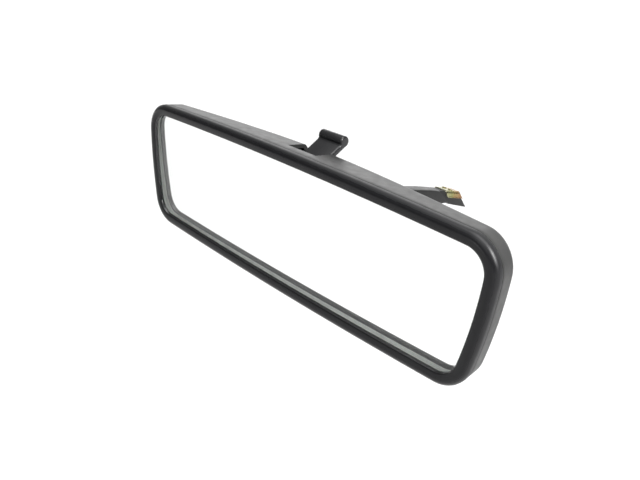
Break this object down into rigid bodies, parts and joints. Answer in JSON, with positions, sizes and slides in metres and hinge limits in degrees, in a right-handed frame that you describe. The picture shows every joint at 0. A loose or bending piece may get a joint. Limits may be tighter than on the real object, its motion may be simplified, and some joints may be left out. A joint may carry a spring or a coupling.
{
  "type": "interior rearview mirror",
  "caption": "Interior rearview mirror: long trapezoid prism glass in a rounded black rim and domed housing, day/night lever, ball joint, arm and clip-in foot.",
  "frame": {"origin": "centre of the foot's oblique seat face, which rests in the roof header", "axes": "+X along the mirror, +Y from the glass towards the windscreen, +Z towards the edge that carries the lever, which is fitted downwards in a car"},
  "size_m": [0.2368, 0.1518, 0.0783],
  "materials": {
    "shell_plastic": "fine grained satin black",
    "rim_plastic": "semi-gloss black",
    "lever_plastic": "polished black",
    "arm_plastic": "satin black",
    "glass": "silvered second-surface prism",
    "film": "matte grey safety film",
    "foam": "open-cell foam",
    "inner_plastic": "plain moulded",
    "liner_nylon": "natural nylon",
    "bare_steel": "zinc-flashed steel",
    "spring_steel": "blued spring steel",
    "plated_clip": "yellow-passivated zinc plate"
  },
  "bodies": {
    "arm": {"ball_stud": "bare_steel", "arm_body": "arm_plastic", "foot_body": "arm_plastic", "spring_clip": "plated_clip", "clip_rivets": "plated_clip", "foot_pin": "bare_steel"},
    "liner": {"socket_liner": "liner_nylon"},
    "spring_cup": {"friction_cup": "spring_steel"},
    "bracket": {"tilt_bracket": "bare_steel", "toggle_spring": "spring_steel", "spring_rivets": "bare_steel", "socket_cap": "inner_plastic", "cap_screws": "bare_steel"},
    "head": {"rear_housing": "shell_plastic", "front_bezel": "rim_plastic", "mirror_glass": "glass", "backing_film": "film", "foam_pads": "foam", "carrier_plate": "inner_plastic", "carrier_screws": "bare_steel", "hinge_pin": "bare_steel", "lever_pin": "bare_steel", "stop_pads": "foam"},
    "lever": {"day_night_lever": "lever_plastic"}
  },
  "joints": [
    {"name": "head_turn", "type": "hinge", "parent": "arm", "child": "liner", "pos_m": [0, -0.11465, 0.01895], "axis": [0, 0, 1], "range_deg": [-20, 20]},
    {"name": "head_nod", "type": "hinge", "parent": "liner", "child": "spring_cup", "pos_m": [0, -0.11465, 0.01895], "axis": [1, 0, 0], "range_deg": [-15, 15]},
    {"name": "head_roll", "type": "hinge", "parent": "spring_cup", "child": "bracket", "pos_m": [0, -0.11465, 0.01895], "axis": [0, 1, 0], "range_deg": [-12, 12]},
    {"name": "day_night_tilt", "type": "hinge", "parent": "bracket", "child": "head", "pos_m": [0, -0.12565, -0.00505], "axis": [1, 0, 0], "range_deg": [0, 4]},
    {"name": "lever_flip", "type": "hinge", "parent": "head", "child": "lever", "pos_m": [0, -0.12815, 0.04555], "axis": [1, 0, 0], "range_deg": [0, 40]}
  ],
  "couplings": [
    {"joint": "lever_flip", "follows": "day_night_tilt", "ratio": 10}
  ]
}
